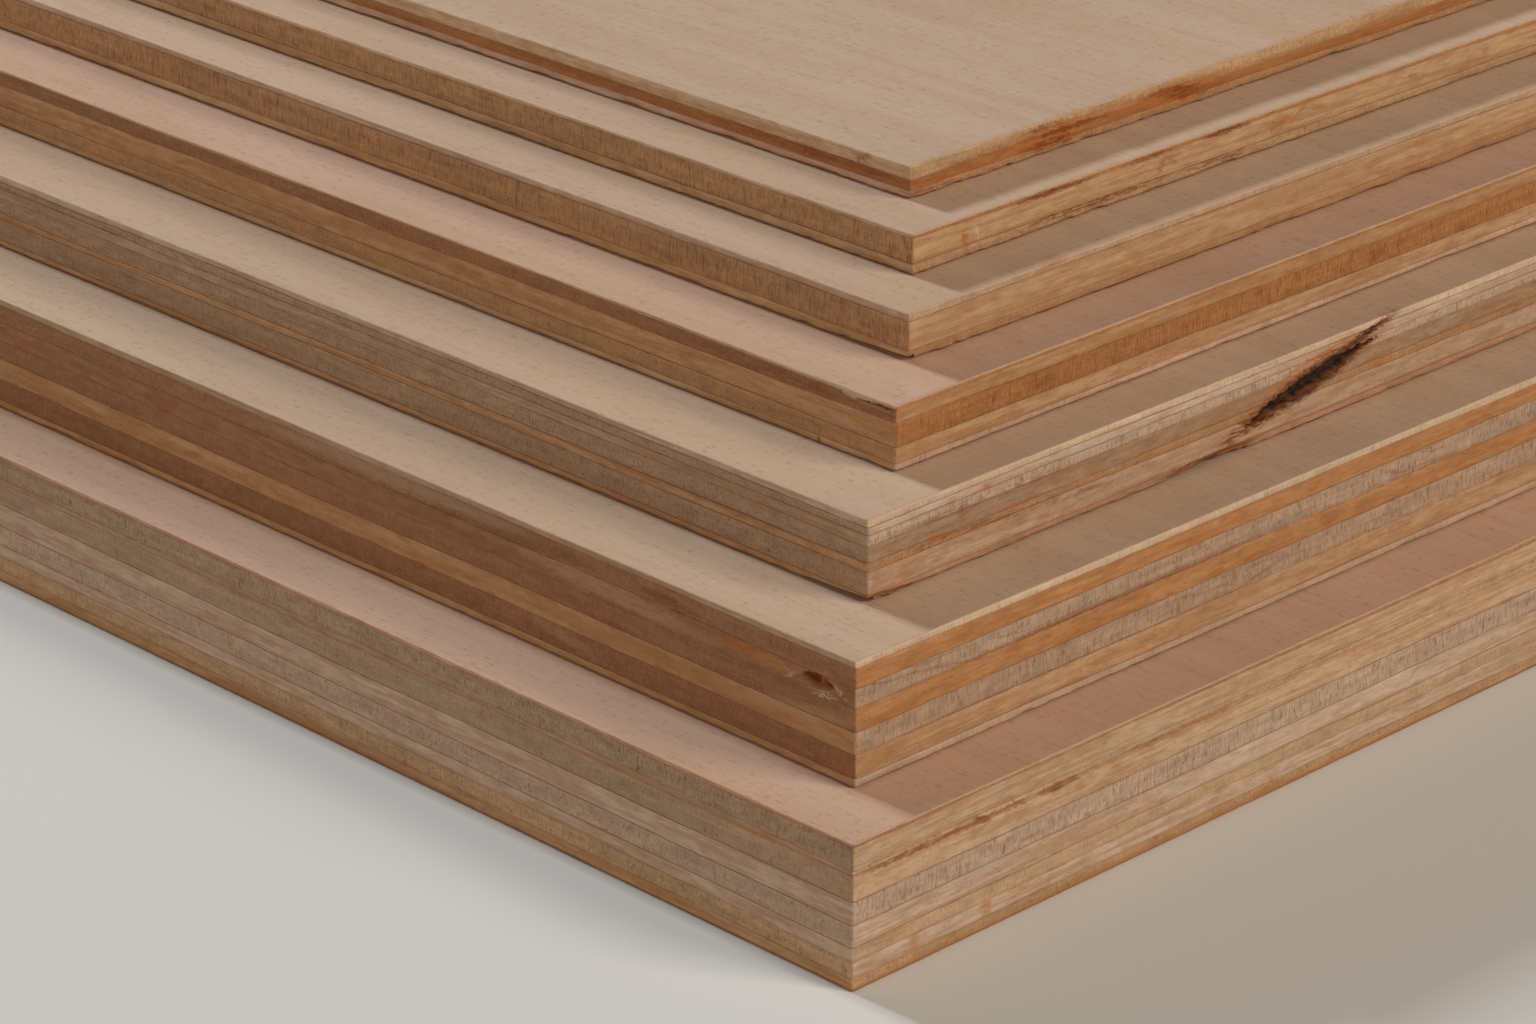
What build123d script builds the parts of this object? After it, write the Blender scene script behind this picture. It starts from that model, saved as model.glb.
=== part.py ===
"""A stepped stack of seven plywood sheets, the thinnest on top and the thickest at the bottom.

Every sheet is the same trade panel. X runs along the face grain, Y across it and Z up. The near
corner is at +X, -Y. From there each sheet is set back from the one below, along X and along Y, so
two edges of every sheet show their veneers. The origin is at the middle of the stack's box, on the
floor. Sizes are in millimetres.
"""
import os
from dataclasses import dataclass
from itertools import accumulate

from build123d import *

# Panel size, the same for every sheet
SHEET_LENGTH = 600.0
SHEET_WIDTH = 300.0

# Sawn edges: sharp corners and arrises, just taken off by sanding
CORNER_EASE = 0.4
ARRIS_EASE = 0.25

# Open knot in the long side of the 18 mm sheet, in its third ply from the top
KNOT_PLY = 3
KNOT_SETBACK = 7.6
KNOT_LENGTH = 7.4
KNOT_RIM = 0.2
KNOT_DEPTH = 2.4
KNOT_TAPER = 18.0

# Bark pocket that runs slantwise across the plies in the short side of the 12 mm sheet
POCKET_PLIES = range(3, 7)
POCKET_SETBACK = 88.0
POCKET_ABOVE_MIDDLE = 0.5
POCKET_LENGTH = 30.0
POCKET_HEIGHT = 2.8
POCKET_TILT = 11.6
POCKET_DEPTH = 1.6

# Chip broken out of the back veneer below the bark pocket
CHIP_SETBACK = 68.0
CHIP_LENGTH = 19.0
CHIP_HEIGHT = 0.8
CHIP_DEPTH = 4.0

# Short split in the second ply of the 9.5 mm sheet, in its long side beside the near corner
SPLIT_PLY = 2
SPLIT_SETBACK = 4.6
SPLIT_BELOW_FACE = 0.35
SPLIT_LENGTH = 8.0
SPLIT_HEIGHT = 0.4
SPLIT_DEPTH = 0.8

# Near corners whose underside curls up: height at the corner, and reach along X and along Y
CURLED_CORNERS = {"sheet_12mm": (0.7, 15.0, 9.0), "sheet_7mm": (0.5, 20.0, 8.0)}


@dataclass(frozen=True)
class Sheet:
    """One sheet: its veneers from the top face down, and how far it is set back."""

    name: str
    veneers: tuple
    back: float
    inward: float

    @property
    def thickness(self) -> float:
        """Total of the veneers."""
        return sum(self.veneers)


# From the floor up. back and inward are measured from the sheet below, along X and along Y.
SHEETS = (
    Sheet("sheet_21mm", (0.7, 3.1, 0.8, 3.7, 3.3, 3.1, 2.0, 2.4, 1.9), back=0.0, inward=0.0),
    Sheet("sheet_18mm", (1.1, 2.7, 3.0, 3.1, 3.3, 3.4, 1.4), back=10.6, inward=11.0),
    Sheet("sheet_12mm", (1.1, 1.2, 1.5, 2.5, 1.1, 3.3, 1.3), back=11.1, inward=13.3),
    Sheet("sheet_9_5mm", (0.6, 2.0, 3.4, 2.3, 1.2), back=8.3, inward=13.5),
    Sheet("sheet_7mm", (1.1, 4.3, 1.6), back=9.4, inward=12.0),
    Sheet("sheet_6mm", (0.7, 3.6, 1.7), back=9.4, inward=10.4),
    Sheet("sheet_5mm", (2.2, 1.4, 1.4), back=9.6, inward=9.3),
)

# The whole stack's plan, and the near corner of the bottom sheet on the floor
STACK_LENGTH = SHEET_LENGTH + sum(sheet.back for sheet in SHEETS)
STACK_WIDTH = SHEET_WIDTH + sum(sheet.inward for sheet in SHEETS)
NEAR_X = STACK_LENGTH / 2
NEAR_Y = -STACK_WIDTH / 2


def sheet_corners() -> list:
    """Near bottom corner of each sheet, from the floor up."""
    xs = [NEAR_X - back for back in accumulate(sheet.back for sheet in SHEETS)]
    ys = [NEAR_Y + inward for inward in accumulate(sheet.inward for sheet in SHEETS)]
    zs = accumulate([0.0] + [sheet.thickness for sheet in SHEETS[:-1]])
    return [Vector(x, y, z) for x, y, z in zip(xs, ys, zs)]


def veneer_name(sheet: Sheet, number: int) -> str:
    """Node name of a veneer, counted from 1 at the top face; even plies run across the grain."""
    if number == 1:
        return f"{sheet.name}_face_veneer"
    if number == len(sheet.veneers):
        return f"{sheet.name}_back_veneer"
    grain = "cross" if number % 2 == 0 else "long"
    return f"{sheet.name}_ply_{number}_{grain}"


def veneer_tops(sheet: Sheet) -> list:
    """Height of each veneer's upper side above the sheet's underside."""
    return [sheet.thickness - above for above in accumulate((0.0,) + sheet.veneers[:-1])]


def veneer(corner: Vector, top: float, thickness: float) -> Part:
    """A flat rectangle with eased upright corners, its upper side at top above the sheet."""
    middle = Vector(corner.X - SHEET_LENGTH / 2, corner.Y + SHEET_WIDTH / 2, corner.Z + top)
    outline = Rectangle(SHEET_LENGTH, SHEET_WIDTH)
    outline = chamfer(outline.vertices(), CORNER_EASE)
    return extrude(Pos(middle) * outline, amount=-thickness)


def ease_arris(solid: Part, upper: bool) -> Part:
    """Takes off the arris all round the upper or the lower side of a surface veneer."""
    side = solid.faces().sort_by(Axis.Z)[-1 if upper else 0]
    return chamfer(side.edges(), ARRIS_EASE)


def long_side(corner: Vector, back: float, height: float) -> Plane:
    """Plane on the -Y edge of a sheet, at a distance back from the near corner, facing out."""
    origin = (corner.X - back, corner.Y, corner.Z + height)
    return Plane(origin=origin, x_dir=(1, 0, 0), z_dir=(0, -1, 0))


def short_side(corner: Vector, along: float, height: float) -> Plane:
    """Plane on the +X edge of a sheet, at a distance along from the near corner, facing out."""
    origin = (corner.X, corner.Y + along, corner.Z + height)
    return Plane(origin=origin, x_dir=(0, 1, 0), z_dir=(1, 0, 0))


def lens(length: float, height: float) -> Sketch:
    """Outline between two arcs that meet at sharp ends on the X axis."""
    left, right = (-length / 2, 0), (length / 2, 0)
    upper = ThreePointArc(left, (0, height / 2), right)
    lower = ThreePointArc(right, (0, -height / 2), left)
    return make_face(upper + lower)


def knot_hole(sheet: Sheet, corner: Vector) -> Part:
    """Elliptical hollow that narrows inwards, inside the thickness of one ply."""
    ply = sheet.veneers[KNOT_PLY - 1]
    middle = veneer_tops(sheet)[KNOT_PLY - 1] - ply / 2
    mouth = Ellipse(KNOT_LENGTH / 2, ply / 2 - KNOT_RIM)
    place = long_side(corner, KNOT_SETBACK, middle)
    return extrude(place * mouth, amount=-KNOT_DEPTH, taper=KNOT_TAPER)


def bark_pocket(sheet: Sheet, corner: Vector) -> Part:
    """Slanting hollow with pointed ends, across the middle plies."""
    height = sheet.thickness / 2 + POCKET_ABOVE_MIDDLE
    place = short_side(corner, POCKET_SETBACK, height)
    outline = Rot(0, 0, POCKET_TILT) * lens(POCKET_LENGTH, POCKET_HEIGHT)
    return extrude(place * outline, amount=-POCKET_DEPTH)


def veneer_chip(corner: Vector) -> Part:
    """Shallow break along the lower arris of a sheet's short side."""
    place = short_side(corner, CHIP_SETBACK, 0)
    return extrude(place * lens(CHIP_LENGTH, 2 * CHIP_HEIGHT), amount=-CHIP_DEPTH)


def edge_split(sheet: Sheet, corner: Vector) -> Part:
    """Thin pointed slit just below the face veneer, parallel to the glue line."""
    height = veneer_tops(sheet)[SPLIT_PLY - 1] - SPLIT_BELOW_FACE
    place = long_side(corner, SPLIT_SETBACK, height)
    return extrude(place * lens(SPLIT_LENGTH, SPLIT_HEIGHT), amount=-SPLIT_DEPTH)


def curl_gap(corner: Vector, lift: float, back: float, along: float) -> Part:
    """What a curled corner leaves open: all below a plane that rises towards the near corner."""
    peak = corner + Vector(0, 0, lift)
    to_back = Vector(-back, 0, -lift)
    to_side = Vector(0, along, -lift)
    slope = Plane(origin=peak, x_dir=to_back, z_dir=to_side.cross(to_back))
    block = Box(4 * back, 4 * back, 2 * lift, align=(Align.CENTER, Align.CENTER, Align.MAX))
    return slope * block


def hollows(sheet: Sheet, corner: Vector) -> dict:
    """The hollows of a sheet, by the numbers of the veneers that they go into."""
    last = len(sheet.veneers)
    found = {number: [] for number in range(1, last + 1)}
    if sheet.name == "sheet_18mm":
        found[KNOT_PLY].append(knot_hole(sheet, corner))
    if sheet.name == "sheet_9_5mm":
        found[SPLIT_PLY].append(edge_split(sheet, corner))
    if sheet.name == "sheet_12mm":
        for number in POCKET_PLIES:
            found[number].append(bark_pocket(sheet, corner))
        found[last].append(veneer_chip(corner))
    if sheet.name in CURLED_CORNERS:
        found[last].append(curl_gap(corner, *CURLED_CORNERS[sheet.name]))
    return found


def build_sheet(sheet: Sheet, corner: Vector) -> dict:
    """All the veneers of one sheet, by node name."""
    veneers = {}
    cuts = hollows(sheet, corner)
    tops = veneer_tops(sheet)
    for number, (top, thickness) in enumerate(zip(tops, sheet.veneers), start=1):
        solid = veneer(corner, top, thickness)
        if number in (1, len(sheet.veneers)):
            solid = ease_arris(solid, upper=number == 1)
        for hollow in cuts[number]:
            solid -= hollow
        veneers[veneer_name(sheet, number)] = solid
    return veneers


os.makedirs("parts", exist_ok=True)
for sheet, corner in zip(SHEETS, sheet_corners()):
    for name, solid in build_sheet(sheet, corner).items():
        export_step(solid, f"parts/{name}.step")
print("stack", STACK_LENGTH, STACK_WIDTH, sum(sheet.thickness for sheet in SHEETS))
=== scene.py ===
"""A stepped stack of seven beech plywood sheets, dressed one veneer at a time.

X runs along the face grain, Y across it and Z up. Every veneer of the frame gets a closed skin of
its own: the sawn band round its edge, with worn arrises, glue lines, a knot hole, a bark pocket and
splits, and the two broad faces. Lengths in the classes are in millimetres.
"""
import logging
import math
from dataclasses import dataclass, replace
from enum import Enum

import bpy
import numpy as np
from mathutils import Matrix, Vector

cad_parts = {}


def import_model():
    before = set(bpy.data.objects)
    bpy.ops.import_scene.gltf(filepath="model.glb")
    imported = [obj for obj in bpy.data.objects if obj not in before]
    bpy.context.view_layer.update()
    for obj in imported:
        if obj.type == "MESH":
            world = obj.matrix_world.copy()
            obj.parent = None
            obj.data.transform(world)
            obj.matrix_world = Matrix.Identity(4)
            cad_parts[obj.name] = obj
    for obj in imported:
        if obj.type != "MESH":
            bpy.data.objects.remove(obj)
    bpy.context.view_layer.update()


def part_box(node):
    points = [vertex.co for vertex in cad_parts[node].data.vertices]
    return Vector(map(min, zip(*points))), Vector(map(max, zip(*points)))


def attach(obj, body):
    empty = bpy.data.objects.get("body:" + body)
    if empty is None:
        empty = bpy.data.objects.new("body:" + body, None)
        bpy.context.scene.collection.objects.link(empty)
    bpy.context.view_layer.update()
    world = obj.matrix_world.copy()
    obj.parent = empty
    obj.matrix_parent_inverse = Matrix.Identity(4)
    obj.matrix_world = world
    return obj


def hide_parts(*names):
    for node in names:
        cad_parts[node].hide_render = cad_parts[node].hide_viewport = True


MM = 0.001
# Distance from a glue line, in millimetres, that stands for none near
NO_GLUE = 9.0
LOG = logging.getLogger("plywood")


class Tone(Enum):
    """The timber colours of the stack, as red, green and blue from 0 to 255."""

    CREAM = (218, 190, 162)
    PALE = (201, 174, 152)
    WHEAT = (198, 166, 134)
    ASH = (187, 158, 134)
    STONE = (171, 141, 114)
    SAND = (190, 154, 116)
    TAN = (182, 140, 100)
    BLUSH = (205, 171, 150)
    CLAY = (189, 145, 114)
    AMBER = (187, 137, 91)
    COPPER = (175, 120, 72)
    RUSSET = (153, 108, 74)
    UMBER = (128, 64, 20)
    RESIN = (188, 110, 50)
    BARK = (30, 18, 12)

    @property
    def linear(self) -> tuple[float, float, float]:
        """The tone in linear light."""
        return tuple(((c / 255 + 0.055) / 1.055) ** 2.4 for c in self.value)


(CREAM, PALE, WHEAT, ASH, STONE, SAND, TAN, BLUSH, CLAY,
 AMBER, COPPER, RUSSET, UMBER, RESIN, BARK) = Tone


class Grain(Enum):
    """The way that the fibres of a veneer run."""

    LONG = "along X"
    CROSS = "along Y"


class Edge(Enum):
    """The two sides that meet at the near corner."""

    LONG_SIDE = -1
    SHORT_SIDE = 1


LONG, SHORT = Edge


@dataclass(frozen=True)
class Finish:
    """Look of one veneer.

    side is the tone where its fibres run along the edge, end where they are cut across, and face
    that of its broad face. The other fields are strengths from 0 to 1.
    """

    side: Tone = SAND
    end: Tone = ASH
    face: Tone = PALE
    bands: float = 0.5
    rays: float = 0.5
    specks: float = 0.3
    fuzz: float = 0.2
    flecks: float = 0.0
    arcs: float = 0.3


@dataclass(frozen=True)
class Stain:
    """A spot of another colour on an edge.

    run is measured from the near corner and height from the sheet's underside, both to its middle.
    reach, rise and depth are its half sizes along the edge, upwards and inwards, and tilt is in
    degrees. streaks says how far short streaks break it up, from 0 to 1.
    """

    edge: Edge
    run: float
    height: float
    reach: float
    rise: float
    tone: Tone
    strength: float = 0.7
    tilt: float = 0.0
    ragged: float = 0.6
    streaks: float = 0.5
    depth: float = 3.2


@dataclass(frozen=True)
class Hollow:
    """A break in an edge, placed as a stain is, with its depth; pointed ends make it a lens."""

    edge: Edge
    run: float
    height: float
    reach: float
    rise: float
    depth: float
    tilt: float = 0.0
    pointed: bool = False
    ragged: float = 0.15
    wall: float = 0.35
    rim: Tone = RESIN
    deep: Tone = BARK


@dataclass(frozen=True)
class Wear:
    """How far the arrises of a sheet are worn, how far its underside lifts by the corner, and how
    strong the painted shadow along its lower arris is.
    """

    upper_long: float = 0.35
    upper_short: float = 0.35
    lower: float = 0.5
    undercut: float = 1.5
    lift: float = 0.0
    lift_reach: float = 14.0
    # Strength of the painted shadow, a dark line along the lower arris where the sheet meets the one
    # below
    contact_shade: float = 0.6


def ease(t: np.ndarray) -> np.ndarray:
    """Smooth step from 0 to 1: three times the square less twice the cube of the clipped value."""
    t = np.clip(t, 0.0, 1.0)
    return t * t * (3 - 2 * t)


def ripple(u: np.ndarray, v: np.ndarray, seed: int) -> np.ndarray:
    """Smooth uneven relief from -1 to 1, with bumps about one unit apart in u and v.

    The formula blends the four nearest values of a seeded square table by the smooth step.
    """
    cells = 193
    table = np.random.default_rng(seed).uniform(-1, 1, (cells, cells))
    u, v = np.broadcast_arrays(u, v)
    i, j = np.floor(u).astype(int), np.floor(v).astype(int)
    s, t = ease(u - i), ease(v - j)
    i, j, k, m = i % cells, j % cells, (i + 1) % cells, (j + 1) % cells
    lower = table[i, j] * (1 - s) + table[k, j] * s
    upper = table[i, m] * (1 - s) + table[k, m] * s
    return lower * (1 - t) + upper * t


@dataclass(frozen=True)
class Outline:
    """Edge line of a sheet: a rectangle with rounded corners.

    run is the distance along the line from the middle of the near corner, positive up the short
    side and negative back along the long side. The line closes at the far corner.
    """

    low: tuple[float, float]
    high: tuple[float, float]
    radius: float = 0.5

    @property
    def arc(self) -> float:
        """Half the length of a corner's arc."""
        return math.pi * self.radius / 4

    @property
    def straights(self) -> tuple[float, float]:
        """Lengths of the straight parts of the long and the short side."""
        return tuple(b - a - 2 * self.radius for a, b in zip(self.low, self.high))

    @property
    def half(self) -> float:
        """Half the length of the whole line."""
        return 4 * self.arc + sum(self.straights)

    def walk(self, run: np.ndarray) -> tuple[np.ndarray, ...]:
        """Points and outward normals of the line.

        An inner point goes round a rectangle that is smaller by the radius, and stands still while
        the normal turns evenly through each corner. The point lies one radius out from it.

        Args:
            run: Distances along the line.

        Returns:
            x, y and the two parts of the unit normal.
        """
        long, short = self.straights
        a = self.arc
        knots = np.array([a, a + short, 3 * a + short, 3 * a + short + long, self.half])
        back = np.array([a, a + long, 3 * a + long, 3 * a + long + short, self.half])
        stops = np.concatenate([-back[::-1], knots])
        (x0, y0), (x1, y1) = np.array(self.low) + self.radius, np.array(self.high) - self.radius
        angle = np.interp(run, stops, [-225, -180, -180, -90, -90, 0, 0, 90, 90, 135])
        inner_x = np.interp(run, stops, [x0, x0, x0, x0, x1, x1, x1, x1, x0, x0])
        inner_y = np.interp(run, stops, [y1, y1, y0, y0, y0, y0, y1, y1, y1, y1])
        nx, ny = np.cos(np.radians(angle)), np.sin(np.radians(angle))
        return inner_x + self.radius * nx, inner_y + self.radius * ny, nx, ny

    def stations(self, details: list[tuple[float, float, float]]) -> np.ndarray:
        """Runs at which the skin has vertices, close together where detail is.

        The wanted spacing is the least of each detail's spacing, which grows with the distance
        from it. Stations are placed at equal steps of the running total of one over the spacing.

        Args:
            details: Middle, half length and spacing of each stretch that has detail.

        Returns:
            Rising runs, one for each column of vertices.
        """
        coarse, near_corner = 3.4, (0.0, 18.0, 0.55)
        bend, bend_spacing = 1.0, 0.16
        growth, bend_growth = 0.018, 0.4
        long, short = self.straights
        bends = (0.0, short + 2 * self.arc, -long - 2 * self.arc, self.half, -self.half)
        dense = np.linspace(-self.half, self.half, 60001)
        spacing = np.full_like(dense, coarse)
        for middle, reach, fine in [*details, near_corner]:
            away = np.maximum(0, abs(dense - middle) - reach)
            spacing = np.minimum(spacing, fine + growth * away)
        for middle in bends:
            away = np.maximum(0, abs(dense - middle) - bend)
            spacing = np.minimum(spacing, bend_spacing + bend_growth * away)
        total = np.concatenate([[0], np.cumsum(1 / spacing[1:]) * (dense[1] - dense[0])])
        count = int(math.ceil(total[-1]))
        return np.interp(np.arange(count) * total[-1] / count, total, dense)


class Socket:
    """A value in a material's nodes, with Python's arithmetic.

    Arithmetic on a colour or a vector adds a Vector Math node, and any other a Math node.
    """

    def __init__(self, nodes: "NodeGraph", link: bpy.types.NodeSocket) -> None:
        """Wraps an output socket."""
        self.nodes = nodes
        self.link = link

    @property
    def wide(self) -> bool:
        """Whether the value has three parts."""
        return self.link.type in ("VECTOR", "RGBA")

    def _sum(self, operation: str, first: object, second: object) -> "Socket":
        """Adds the node of one operation on two values, one of which may be a number."""
        if any(isinstance(v, Socket) and v.wide or isinstance(v, tuple) for v in (first, second)):
            first, second = ((v,) * 3 if isinstance(v, (int, float)) else v for v in (first, second))
            return self.nodes.add("VectorMath", {"operation": operation}, {0: first, 1: second})
        return self.nodes.add("Math", {"operation": operation}, {0: first, 1: second})

    def __add__(self, other: object) -> "Socket":
        """self + other."""
        return self._sum("ADD", self, other)

    def __radd__(self, other: object) -> "Socket":
        """other + self."""
        return self._sum("ADD", other, self)

    def __sub__(self, other: object) -> "Socket":
        """self - other."""
        return self._sum("SUBTRACT", self, other)

    def __rsub__(self, other: object) -> "Socket":
        """other - self."""
        return self._sum("SUBTRACT", other, self)

    def __mul__(self, other: object) -> "Socket":
        """self * other."""
        return self._sum("MULTIPLY", self, other)

    def __rmul__(self, other: object) -> "Socket":
        """other * self."""
        return self._sum("MULTIPLY", other, self)

    def __abs__(self) -> "Socket":
        """Size of the value, without its sign."""
        return self.nodes.add("Math", {"operation": "ABSOLUTE"}, {0: self})

    def step(self, low: float, high: float) -> "Socket":
        """Smooth step from 0 at low to 1 at high; low may be the larger."""
        ends = {1: low, 2: high, 3: 0.0, 4: 1.0} if low < high else {1: high, 2: low, 3: 1.0, 4: 0.0}
        return self.nodes.add("MapRange", {"interpolation_type": "SMOOTHSTEP"}, {0: self, **ends})

    def near(self, value: float, width: float) -> "Socket":
        """1 where this is value, falling to 0 at width away on both sides."""
        return abs(self - value).step(width, 0.0)


class NodeGraph:
    """Builds the node tree of one material."""

    def __init__(self, material: bpy.types.Material) -> None:
        """Starts from an empty tree."""
        material.use_nodes = True
        self.tree = material.node_tree
        self.tree.nodes.clear()

    def add(self, kind: str, settings: dict, values: dict, output: int | str = 0) -> Socket:
        """Adds a node.

        Args:
            kind: Type of node, without its leading words.
            settings: Settings of the node, which are set first.
            values: Sockets, numbers or tuples for the inputs, by name or place.
            output: Name or place of the output that is returned.

        Returns:
            The wrapped output.
        """
        node = self.tree.nodes.new(f"ShaderNode{kind}")
        for name, value in settings.items():
            setattr(node, name, value)
        for name, value in values.items():
            socket = node.inputs[name]
            if isinstance(value, Socket):
                self.tree.links.new(value.link, socket)
            elif socket.type == "RGBA":
                socket.default_value = (*value, 1.0)[:4]
            else:
                socket.default_value = value
        return Socket(self, node.outputs[output]) if node.outputs else None

    def mix(self, first: object, second: object, factor: object) -> Socket:
        """Colour between first and second by factor."""
        return self.add("Mix", {"data_type": "RGBA"}, {0: factor, 6: first, 7: second}, 2)

    def noise(self, place: Socket, detail: float = 2.0, roughness: float = 0.5) -> Socket:
        """Smooth noise from about 0.2 to 0.8 with spots one unit across in place."""
        values = {"Vector": place, "Scale": 1.0, "Detail": detail, "Roughness": roughness}
        return self.add("TexNoise", {"noise_dimensions": "3D"}, values)


class Timber(NodeGraph):
    """Node tree of one veneer's wood, with the coordinates that its patterns share."""

    def __init__(self, material: bpy.types.Material, grain: Grain, seed: int) -> None:
        """Starts the tree with the place of a point and its height, in millimetres."""
        super().__init__(material)
        self.grain = grain
        self.shift = seed * 3.17
        self.spot = self.add("TexCoord", {}, {}, "Object") * (1 / MM)
        self.height = self.add("SeparateXYZ", {}, {0: self.spot}, 2)

    def stretch(self, along: float, across: float, through: float) -> Socket:
        """Coordinates that stretch a pattern to a size along, across and through the veneer."""
        sizes = (along, across) if self.grain is Grain.LONG else (across, along)
        scaled = self.spot * (1 / sizes[0], 1 / sizes[1], 1 / through)
        return scaled + (self.shift, self.shift * 1.31, self.shift * 0.73)

    def figure(self, along: float, across: float, through: float, detail: float = 2.0,
               roughness: float = 0.5) -> Socket:
        """Smooth noise with spots of a size along, across and through the veneer."""
        return self.noise(self.stretch(along, across, through), detail, roughness)


@dataclass(frozen=True)
class VeneerShader:
    """Solid wood for one veneer, on Object coordinates, so that the grain runs through."""

    name: str
    finish: Finish
    grain: Grain
    seed: int
    corner: tuple[float, float]
    bottom: float
    top: float
    # Strength of the painted contact shadow along the lower arris, 0 where there is none
    contact_shade: float
    worn: float
    stains: tuple[Stain, ...]
    hollows: tuple[Hollow, ...]

    def build(self) -> bpy.types.Material:
        """Makes the material."""
        material = bpy.data.materials.new(self.name)
        wood = Timber(material, self.grain, self.seed)
        parts = wood.add("SeparateXYZ", {}, {0: wood.add("NewGeometry", {}, {}, "Normal")})
        normal = [Socket(wood, s) for s in parts.link.node.outputs]
        end = abs(normal[0 if self.grain is Grain.LONG else 1]).step(0.45, 0.75)
        broad = abs(normal[2]).step(0.55, 0.85)
        glue = wood.add("Attribute", {"attribute_name": "glue"}, {}, "Fac")
        hollow = wood.add("Attribute", {"attribute_name": "hollow"}, {}, "Fac")

        side_colour, side_relief = self.side_grain(wood)
        end_colour, end_relief = self.end_grain(wood)
        face_colour, face_relief = self.broad_face(wood)
        colour = wood.mix(wood.mix(side_colour, end_colour, end), face_colour, broad)
        drift = wood.figure(90, 45, 60, 1.0)
        cloud = wood.noise(wood.spot * (1 / 3.4, 1 / 3.4, 1 / 1.2), 3.0, 0.65)
        colour = colour * ((0.90 + 0.20 * drift) * (1 + (0.60 - 0.52 * broad) * (cloud - 0.5)))
        uneven = wood.figure(2.2, 2.2, 0.6, 2.0)
        patchy = wood.figure(18, 9, 3.0, 2.0)
        edge = 1 - broad
        colour = self.glue_line(wood, colour, glue, 0.4 * uneven + 0.6 * patchy, edge)
        colour = self.worn_arris(wood, colour, uneven, edge)
        # Painted contact shadow along the lower arris of a back veneer
        colour = self.paint_contact_shadow(wood, colour, uneven, edge)
        colour = self.stained(wood, colour)
        if self.hollows:
            rim, deep = self.hollows[0].rim.linear, self.hollows[0].deep.linear
            torn = wood.mix(rim, deep, (hollow + 0.5 * uneven).step(0.55, 1.1))
            colour = wood.mix(colour, torn, (hollow + 0.3 * (uneven - 0.5)).step(0.10, 0.35))

        relief = side_relief * (1 - end) + end_relief * end
        relief = relief * edge + face_relief * broad
        bump = wood.add("Bump", {}, {"Strength": 0.75, "Distance": 0.09 * MM, "Height": relief})
        rough = 0.58 + 0.16 * uneven + 0.10 * end
        values = {"Base Color": colour, "Roughness": rough, "Normal": bump, "Specular IOR Level": 0.3}
        surface = wood.add("BsdfPrincipled", {}, values)
        wood.add("OutputMaterial", {}, {"Surface": surface})
        return material

    def side_grain(self, wood: Timber) -> tuple[Socket, Socket]:
        """Fibres that run along the edge: soft bands, fine fibres and lustrous ray patches."""
        finish = self.finish
        wander = wood.figure(16, 12, 8, 1.0)
        bent = wood.stretch(55, 30, 0.5) + wood.add("CombineXYZ", {}, {2: 1.4 * wander})
        band = wood.noise(bent, 3.0, 0.6)
        blotch = wood.figure(22, 9, 1.5, 2.0)
        fibre = wood.figure(6, 0.5, 0.10, 2.0)
        warm = tuple(a * b for a, b in zip(finish.side.linear, (0.82, 0.66, 0.50)))
        pale = tuple(a * b for a, b in zip(finish.side.linear, (1.10, 1.13, 1.18)))
        colour = wood.mix(pale, warm, (0.45 * band + 0.55 * blotch).step(
            0.62 - 0.35 * finish.bands, 0.40 + 0.35 * finish.bands) * (0.35 + 0.5 * finish.bands))
        mottle = wood.figure(4.5, 3, 1.1, 3.0, 0.65).step(0.44, 0.66)
        stained = tuple(a * b for a, b in zip(finish.side.linear, (0.87, 0.69, 0.50)))
        colour = wood.mix(colour, stained, (0.35 + 0.50 * finish.bands) * mottle)
        colour = colour * (0.80 + 0.40 * fibre)
        if finish.flecks:
            patch = wood.noise(wood.stretch(2.6, 2.0, 0.9) + 0.6 * wander, 3.0, 0.65)
            many = wood.figure(24, 20, 6, 1.0).step(0.42, 0.62)
            mask = finish.flecks * patch.step(0.56, 0.66) * many
            colour = wood.mix(colour, RESIN.linear, 0.75 * mask)
        pore = wood.figure(0.9, 0.2, 0.13, 1.0).step(0.60, 0.74)
        colour = wood.mix(colour, UMBER.linear, 0.35 * finish.specks * pore)
        return colour, 0.65 * fibre - 0.3 * pore

    def end_grain(self, wood: Timber) -> tuple[Socket, Socket]:
        """Fibres cut across: upright rays, hairline checks, growth arcs, specks and fuzz."""
        finish = self.finish
        slow = wood.figure(14, 10, 1.3, 2.0)
        ring = wood.noise(wood.stretch(60, 26, 0.45) + 0.9 * slow, 2.0)
        streak = wood.figure(2.0, 0.19, 2.0, 2.0, 0.6)
        tick = wood.figure(2.0, 0.4, 1.3, 1.0).step(0.54, 0.68)
        line = wood.figure(3.0, 0.95, 6.0, 1.0)
        check = line.near(0.5, 0.028) * wood.figure(7, 4, 1.6, 1.0).step(0.42, 0.56)
        growth = wood.figure(60, 22, 1.9, 0.0).near(0.5, 0.016)
        grit = wood.figure(0.5, 0.30, 0.34, 2.0)
        dark = tuple(a * b for a, b in zip(finish.end.linear, (0.46, 0.37, 0.30)))
        colour = wood.mix(finish.end.linear, dark, 0.50 * finish.rays * streak.step(0.42, 0.74))
        colour = wood.mix(colour, dark, 0.36 * finish.rays * tick)
        colour = colour * (0.82 + 0.36 * ring)
        colour = wood.mix(colour, UMBER.linear, 0.55 * finish.rays * check)
        colour = wood.mix(colour, UMBER.linear, 0.50 * finish.arcs * growth)
        colour = wood.mix(colour, UMBER.linear, 0.60 * finish.specks * grit.step(0.58, 0.70))
        colour = wood.mix(colour, CREAM.linear, 0.55 * finish.fuzz * grit.step(0.42, 0.33))
        return colour * (0.80 + 0.40 * slow), 0.8 * streak + 0.8 * grit

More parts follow.
